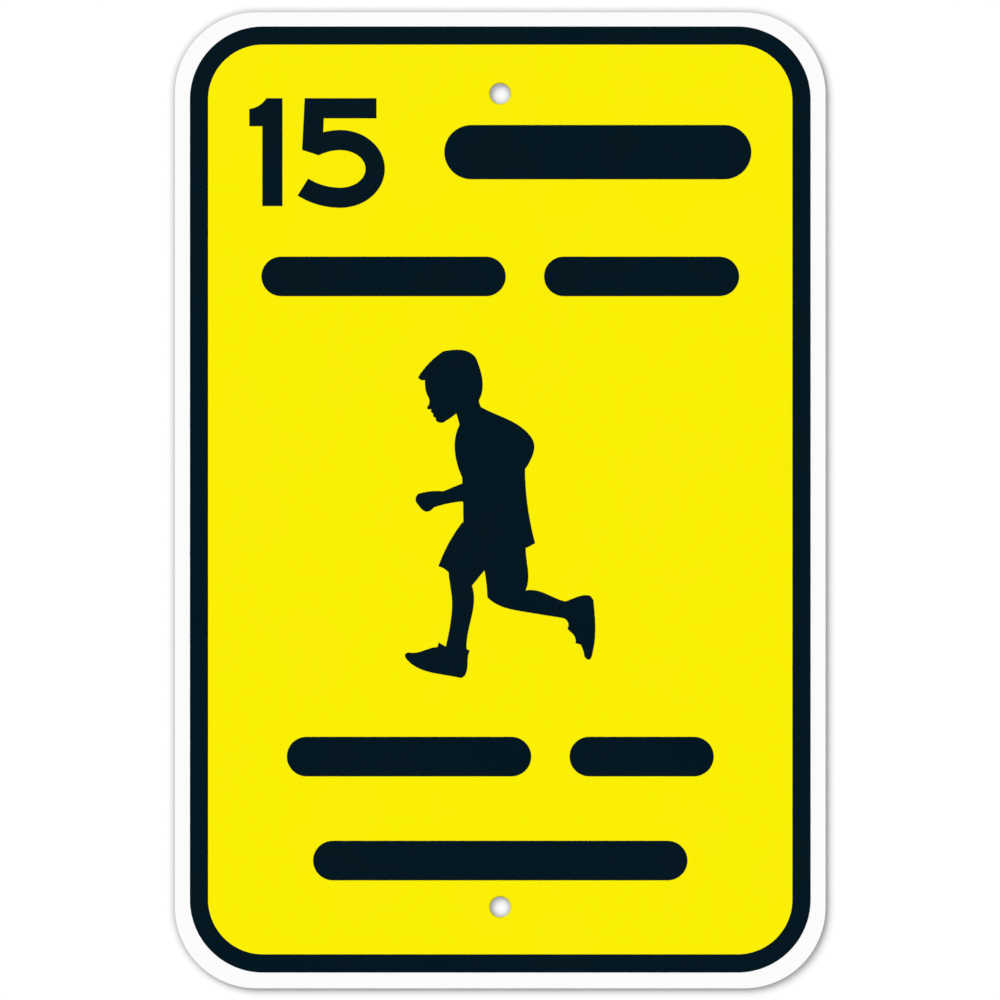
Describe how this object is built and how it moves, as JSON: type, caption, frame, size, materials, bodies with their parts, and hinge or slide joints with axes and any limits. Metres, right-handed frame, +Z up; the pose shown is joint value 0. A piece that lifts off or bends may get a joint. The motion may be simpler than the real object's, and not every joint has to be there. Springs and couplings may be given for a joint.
{
  "type": "speed limit sign",
  "caption": "Flat rounded metal road sign, bolted to a post on its centre line, with a dark border on yellow, a speed number, legend bars and a running child.",
  "frame": {"origin": "middle of the back of the blank, halfway between the two bolt holes", "axes": "+Z up the sign, +Y out of its back towards the post, +X to the right as the face is read from -Y"},
  "size_m": [0.3048, 0.002, 0.4572],
  "materials": {
    "mill_aluminium": "mill-rolled sheet with a fine vertical grain",
    "white_film": "smooth reflective sheeting, satin gloss",
    "yellow_film": "bright yellow film, satin gloss",
    "dark_film": "blue-black film, satin"
  },
  "bodies": {
    "root": {"sign_blank": "mill_aluminium", "white_sheeting": "white_film", "border_band": "dark_film", "yellow_field": "yellow_film", "numeral_one": "dark_film", "numeral_five": "dark_film", "unit_bar": "dark_film", "upper_bar_left": "dark_film", "upper_bar_right": "dark_film", "running_child": "dark_film", "lower_bar_left": "dark_film", "lower_bar_right": "dark_film", "bottom_bar": "dark_film"}
  },
  "joints": []
}
